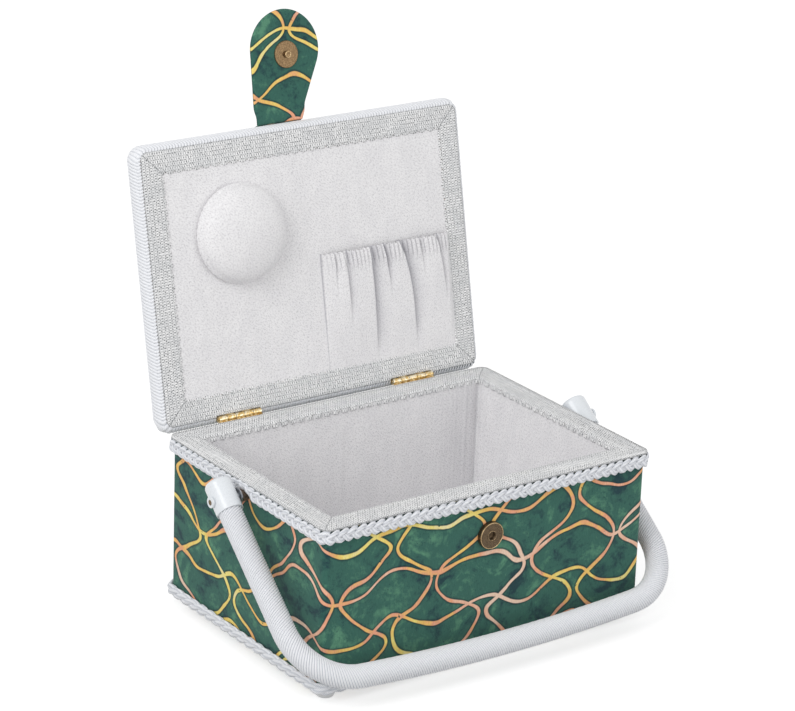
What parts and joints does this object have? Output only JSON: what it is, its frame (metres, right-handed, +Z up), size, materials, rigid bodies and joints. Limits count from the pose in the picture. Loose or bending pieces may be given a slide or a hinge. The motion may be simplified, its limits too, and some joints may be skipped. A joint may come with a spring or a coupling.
{
  "type": "sewing box",
  "caption": "Cloth-covered sewing box with a padded hinged lid, a closing flap with a magnetic snap, a pin cushion and pocket in the lid, and a swinging bail handle.",
  "frame": {"origin": "on the floor under the middle of the box", "axes": "+X to the right seen from the front, +Y to the back where the lid is hinged, +Z up"},
  "size_m": [0.2742, 0.2542, 0.3335],
  "materials": {
    "printed_cotton": "batik-dyed cotton",
    "lining_cloth": "crepe",
    "woven_tape": "ribbed weave",
    "braided_cord": "plaited",
    "wound_cord": "wound cord",
    "padding": "wadding",
    "fibreboard": "pressed board",
    "batten_wood": "planed softwood",
    "foot_plastic": "milky",
    "cap_plastic": "satin",
    "core_plastic": "moulded",
    "hinge_brass": "bright plated",
    "snap_bronze": "antiqued",
    "steel": "zinc plated",
    "magnet": "sintered"
  },
  "bodies": {
    "box": {"base_board": "fibreboard", "base_cloth": "printed_cotton", "front_panel": "fibreboard", "back_panel": "fibreboard", "left_panel": "fibreboard", "right_panel": "fibreboard", "front_batten": "batten_wood", "back_batten": "batten_wood", "left_batten": "batten_wood", "right_batten": "batten_wood", "wadding": "padding", "outer_cover": "printed_cotton", "wall_pads": "padding", "floor_pad": "padding", "box_lining": "lining_cloth", "rim_tape": "woven_tape", "top_braid": "braided_cord", "bottom_braid": "braided_cord", "foot_front_left": "foot_plastic", "foot_front_right": "foot_plastic", "foot_back_left": "foot_plastic", "foot_back_right": "foot_plastic", "foot_screws": "steel", "hinge_left_box_leaf": "hinge_brass", "hinge_right_box_leaf": "hinge_brass", "hinge_pins": "hinge_brass", "hinge_box_screws": "steel", "snap_socket": "snap_bronze", "snap_magnet": "magnet", "snap_back_plate": "steel", "pivot_bolt_left": "snap_bronze", "pivot_bolt_right": "snap_bronze", "pivot_spacers": "steel", "pivot_washers": "steel", "pivot_nuts": "steel"},
    "lid": {"lid_board": "fibreboard", "lid_frame": "batten_wood", "lid_inner_board": "fibreboard", "lid_edge_beading": "batten_wood", "lid_edge_cord": "wound_cord", "lid_padding": "padding", "lid_cover": "printed_cotton", "lid_lining": "lining_cloth", "lid_tape": "woven_tape", "pin_cushion": "lining_cloth", "pocket": "lining_cloth", "pocket_elastic": "woven_tape", "hinge_left_lid_leaf": "hinge_brass", "hinge_right_lid_leaf": "hinge_brass", "hinge_lid_screws": "steel", "flap_tab": "printed_cotton"},
    "flap": {"flap_outer_cloth": "printed_cotton", "flap_inner_cloth": "printed_cotton", "flap_stiffener": "core_plastic", "snap_stud": "snap_bronze", "snap_stud_plate": "steel"},
    "handle": {"handle_core": "core_plastic", "handle_wrap": "wound_cord", "handle_cap_left": "cap_plastic", "handle_cap_right": "cap_plastic"}
  },
  "joints": [
    {"name": "lid_hinge", "type": "hinge", "parent": "box", "child": "lid", "pos_m": [0, 0.0863, 0.10685], "axis": [1, 0, 0], "range_deg": [0, 102]},
    {"name": "flap_fold", "type": "hinge", "parent": "lid", "child": "flap", "pos_m": [0, 0.13097, 0.27013], "axis": [1, 0, 0], "range_deg": [0, 90], "stiffness_Nm_per_rad": 0.02},
    {"name": "handle_swing", "type": "hinge", "parent": "box", "child": "handle", "pos_m": [0, 0, 0.098], "axis": [-1, 0, 0], "range_deg": [-3, 165]}
  ]
}
